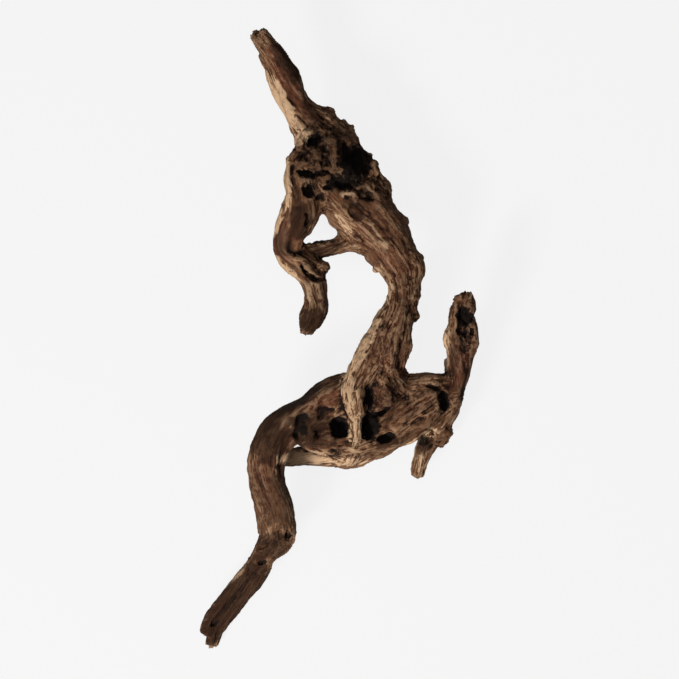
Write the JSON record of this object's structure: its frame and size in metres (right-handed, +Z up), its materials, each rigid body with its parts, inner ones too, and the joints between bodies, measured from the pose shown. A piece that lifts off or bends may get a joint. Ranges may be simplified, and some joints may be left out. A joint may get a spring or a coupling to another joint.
{
  "type": "driftwood",
  "caption": "Gnarled driftwood with a tapering horn, a drooping arm tied back by twigs, a hollowed root mass, a bent leg, a short stub and a raised arm; lies on its side on small worn flats.",
  "frame": {"origin": "on the table, under the middle of the bounding box, as the piece lies on its three lowest points", "axes": "+Z up from the table; +Y along the piece, from the shin's tip towards the horn's tip; +X across it, from the drooping arm towards the raised arm"},
  "size_m": [0.2809, 0.6211, 0.1062],
  "materials": {
    "wood": "dry weathered wood, matt, with sharp furrows, charred pits and pale worn ridges"
  },
  "bodies": {
    "root": {"driftwood": "wood"}
  },
  "joints": []
}
